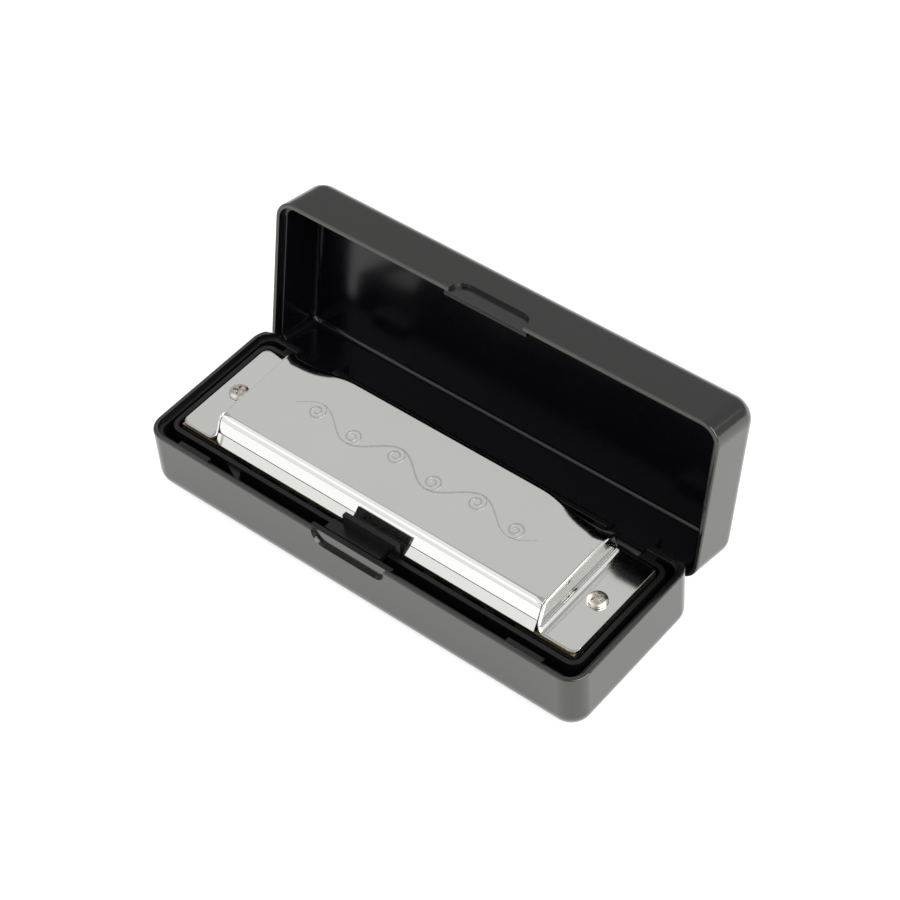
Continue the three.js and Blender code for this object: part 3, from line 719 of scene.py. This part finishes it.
def end_profile():
    """(x, share of the height, lift) along the tab, hollow fillet, wall, round edge and top."""
    profile = [(HARP_HALF_X - d, 0.0, 0.0) for d in (0, 0.12, 0.45, 0.95, 1.5, 3.0, 5.0)]
    steps = 8
    for i in range(steps + 1):
        angle = i / steps * math.pi / 2
        profile.append((COVER_HALF + END_FILLET * (1 - math.sin(angle)), 0.0,
                        END_FILLET * (1 - math.cos(angle))))
    for share in (0.3, 0.6, 0.85):
        profile.append((COVER_HALF, share, END_FILLET * (1 - share) - END_ROUND * share))
    for i in range(steps + 1):
        angle = i / steps * math.pi / 2
        profile.append((COVER_HALF - END_ROUND * (1 - math.cos(angle)), 1.0,
                        -END_ROUND * (1 - math.sin(angle))))
    top_steps = 30
    profile += [(LIP_HALF * (1 - (i / top_steps) ** 0.9), 1.0, 0.0) for i in range(1, top_steps + 1)]
    return profile


def cover_sheet(name):
    """One stamped sheet: tabs, end walls, arched top, front fold and sloping lip."""
    profile = end_profile()
    stations = [(-x, share, lift) for x, share, lift in profile]
    stations += [(x, share, lift) for x, share, lift in reversed(profile[:-1])]
    top_steps = 34
    front_columns = len(FRONT_PROFILE) - 1
    columns = front_columns + top_steps + 1
    verts, faces = [], []
    for x, share, lift in stations:
        for y, height in FRONT_PROFILE[:-1]:
            verts.append((x, y, TAB_Z + height + lift * height / COVER_RISE))
        reach = max(TAB_CORNER - (HARP_HALF_X - abs(x)), 0.0)
        cut = TAB_CORNER - math.sqrt(TAB_CORNER ** 2 - reach ** 2)
        height = share * COVER_RISE + lift
        front = front_y(height) + cut
        back = mix(HARP_BACK, cover_back(x), smoothstep(0.0, BACK_EASE, height)) - cut
        for i in range(top_steps + 1):
            y = mix(front, back, i / top_steps)
            verts.append((x, y, TAB_Z + share * cover_rise(x, y) + lift))
    for s in range(len(stations) - 1):
        folded = max(abs(stations[s][0]), abs(stations[s + 1][0])) <= LIP_HALF
        for c in range(columns - 1):
            if c >= front_columns or folded:
                a = s * columns + c
                faces.append((a, a + columns, a + columns + 1, a + 1))
    sheet = new_piece(name, verts, faces, (CHROME,), smooth_angle=50.0)
    bm = bmesh.new()
    bm.from_mesh(sheet.data)
    bmesh.ops.delete(bm, geom=[v for v in bm.verts if not v.link_faces], context="VERTS")
    bmesh.ops.recalc_face_normals(bm, faces=bm.faces)
    if sum(face.normal.z for face in bm.faces) < 0:
        bmesh.ops.reverse_faces(bm, faces=bm.faces)
    bm.to_mesh(sheet.data)
    bm.free()
    thick = sheet.modifiers.new("sheet", "SOLIDIFY")
    thick.thickness = SHEET * MM
    thick.offset = -1
    apply_modifiers(sheet, 50.0)
    edge = sheet.modifiers.new("edges", "BEVEL")
    edge.width = SHEET_SOFTENING * MM
    edge.segments = 2
    edge.limit_method = "ANGLE"
    edge.angle_limit = math.radians(60)
    apply_modifiers(sheet, 50.0)
    return sheet


def covers():
    """The upper cover, and the same stamping turned over for the lower one."""
    upper = cover_sheet("upper_cover_sheet")
    lower = cover_sheet("lower_cover_sheet")
    turn = Matrix.Rotation(math.pi, 4, "Y")
    middle = Vector((0, 0, MIDDLE_Z * MM))
    lower.data.transform(Matrix.Translation(middle) @ turn @ Matrix.Translation(-middle))
    for piece, node in ((upper, "upper_cover"), (lower, "lower_cover")):
        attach(piece, "harmonica")
        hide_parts(node)


# ---- Scroll ----
def scroll_lines():
    """Paths (x, y) of a plain vine: a waving stem with a curl turning off at every crest."""
    stem = []
    steps = 160
    for i in range(steps + 1):
        x = mix(-SCROLL_HALF_X, SCROLL_HALF_X, i / steps)
        stem.append((x, SCROLL_Y + SCROLL_WAVE * math.sin(2 * math.pi * SCROLL_WAVES * (i / steps))))
    paths = [stem]
    crests = 2 * SCROLL_WAVES
    for crest in range(crests):
        side = 1 if crest % 2 == 0 else -1
        x0 = mix(-SCROLL_HALF_X, SCROLL_HALF_X, (crest + 0.5) / crests)
        y0 = SCROLL_Y + side * (SCROLL_WAVE - SCROLL_CURL)
        curl = []
        curl_steps = 60
        for i in range(curl_steps + 1):
            t = i / curl_steps
            angle = side * (math.pi / 2 - SCROLL_CURL_TURN * math.pi * t)
            radius = SCROLL_CURL * (1 - SCROLL_CURL_TIGHTENING * t)
            curl.append((x0 + radius * math.cos(angle), y0 + radius * math.sin(angle)))
        paths.append(curl)
    return paths


def raised_scroll():
    """The scroll as one set of closed, narrow bands that stand a hair proud of the cover."""
    corners = ((-1, -SCROLL_SUNK), (1, -SCROLL_SUNK), (1, SCROLL_PROUD), (-1, SCROLL_PROUD))
    verts, faces = [], []
    for path in scroll_lines():
        start = len(verts)
        last = len(path) - 1
        for i, (x, y) in enumerate(path):
            (ax, ay), (bx, by) = path[max(i - 1, 0)], path[min(i + 1, last)]
            length = math.hypot(bx - ax, by - ay)
            taper = math.sqrt(max(math.sin(math.pi * i / last), SCROLL_LEAST_TAPER))
            nx = -(by - ay) / length * taper * SCROLL_LINE / 2
            ny = (bx - ax) / length * taper * SCROLL_LINE / 2
            for side, lift in corners:
                px, py = x + side * nx, y + side * ny
                verts.append((px, py, TAB_Z + cover_rise(px, py) + lift))
        for i in range(last):
            a = start + 4 * i
            faces += [(a + k, a + (k + 1) % 4, a + 4 + (k + 1) % 4, a + 4 + k) for k in range(4)]
        faces.append((start + 3, start + 2, start + 1, start))
        end = start + 4 * last
        faces.append((end, end + 1, end + 2, end + 3))
    scroll = cleaned(new_piece("upper_cover_scroll", verts, faces, (ETCHED,)))
    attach(scroll, "harmonica")


# ---- Screws ----
def cover_screw(side, word, quarter_turn):
    """Pan-head screw with a cross recess, through both covers to its nut."""
    low, high = (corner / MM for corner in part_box(f"cover_screw_{word}"))
    x, y = side * SCREW_X, HARP_MIDDLE_Y
    under = high.z - SCREW_HEIGHT
    profile = [(SHANK_TIP, low.z), (SHANK, low.z + SHANK_CHAMFER), (SHANK, under), (SCREW_RADIUS, under)]
    steps = 10
    for i in range(steps + 1):
        angle = i / steps * math.pi / 2
        profile.append((SCREW_CROWN + (SCREW_RADIUS - SCREW_CROWN) * math.cos(angle) ** 0.9,
                        under + SCREW_EDGE + (SCREW_HEIGHT - SCREW_EDGE) * math.sin(angle) ** 0.8))
    sides = 48
    circle = [(math.cos(2 * math.pi * i / sides), math.sin(2 * math.pi * i / sides))
              for i in range(sides)]
    screw = loft([[(x + r * a, y + r * b, z) for a, b in circle] for r, z in profile],
                 f"cover_screw_{word}_turned", (STEEL,))
    cutters = []
    for turn in (0, 90):
        angle = math.radians(turn + quarter_turn)
        cutter = block(-RECESS_HALF_LENGTH, RECESS_HALF_LENGTH, -RECESS_HALF_WIDTH, RECESS_HALF_WIDTH,
                       high.z - RECESS_DEPTH, high.z + CLEAR)
        place = Matrix.Translation(Vector((x, y, 0)) * MM)
        cutter.data.transform(place @ Matrix.Rotation(angle, 4, "Z"))
        cutters.append(cutter)
    boolean(screw, cutters, "DIFFERENCE")
    cleaned(screw)
    soften(screw, SCREW_SOFTENING)
    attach(screw, "harmonica")
    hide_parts(f"cover_screw_{word}")


# ---- CAD nodes that keep their shape ----
def finish_cad_nodes():
    """Gives every CAD node that is still shown its material and slightly rounded edges."""
    kept = {"comb": COMB_PLASTIC, "upper_reed_plate": SHADED_PLATE_BRASS, "lower_reed_plate": SHADED_PLATE_BRASS}
    for name, node in frame["nodes"].items():
        if node.hide_render:
            continue
        if name in kept:
            material = kept[name]
        elif "reed" in name or "rivet" in name or "plate_pin" in name:
            material = REED_BRASS
        else:
            material = STEEL
        node.data.materials.clear()
        node.data.materials.append(material)
        bevel = node.modifiers.new("edges", "BEVEL")
        bevel.width = CAD_SOFTENING * MM
        bevel.segments = 2
        bevel.limit_method = "ANGLE"
        bevel.angle_limit = math.radians(40)


# ---- Setting ----
def camera():
    """The camera at the photograph's viewing angle."""
    data = bpy.data.cameras.new("camera")
    data.lens = CAMERA_LENS
    data.sensor_width = CAMERA_SENSOR
    data.clip_start = 0.01
    data.clip_end = 20
    cam = bpy.data.objects.new("camera", data)
    cam.location = CAMERA_EYE
    cam.rotation_mode = "QUATERNION"
    aim = (Vector(CAMERA_TARGET) - Vector(CAMERA_EYE)).to_track_quat("-Z", "Y")
    cam.rotation_quaternion = aim @ Matrix.Rotation(CAMERA_ROLL, 4, "Z").to_quaternion()
    bpy.context.scene.collection.objects.link(cam)
    bpy.context.scene.camera = cam


def softbox(name, place, aim, width, height, radiance):
    """An evenly lit rectangle turned towards aim."""
    data = bpy.data.lights.new(name, "AREA")
    data.shape = "RECTANGLE"
    data.size = width
    data.size_y = height
    data.energy = 4 * width * height * radiance
    light = bpy.data.objects.new(name, data)
    light.location = place
    light.rotation_mode = "QUATERNION"
    light.rotation_quaternion = (Vector(aim) - Vector(place)).to_track_quat("-Z", "Y")
    light.visible_camera = False
    bpy.context.scene.collection.objects.link(light)


def studio():
    """A plain white floor that glows evenly, in a room of even light, with the softboxes."""
    bpy.context.scene.view_settings.view_transform = "Standard"
    material, _, shader, _ = shader_material("pale_floor", FLOOR_ALBEDO, 0.9, specular=0.0)
    shader.inputs["Emission Color"].default_value = (1, 1, 1, 1)
    shader.inputs["Emission Strength"].default_value = FLOOR_GLOW
    half = FLOOR_HALF / MM
    floor = block(-half, half, -half, half, -10, -HAIR, "floor", (material,))
    world = bpy.data.worlds.new("room")
    bpy.context.scene.world = world
    world.use_nodes = True
    background = world.node_tree.nodes["Background"]
    background.inputs["Color"].default_value = (1, 1, 1, 1)
    background.inputs["Strength"].default_value = ROOM_LIGHT
    for box in SOFTBOXES:
        softbox(*box)


case_base()
case_lid()
covers()
raised_scroll()
cover_screw(-1, "left", 20)
cover_screw(1, "right", 62)
finish_cad_nodes()
studio()
camera()
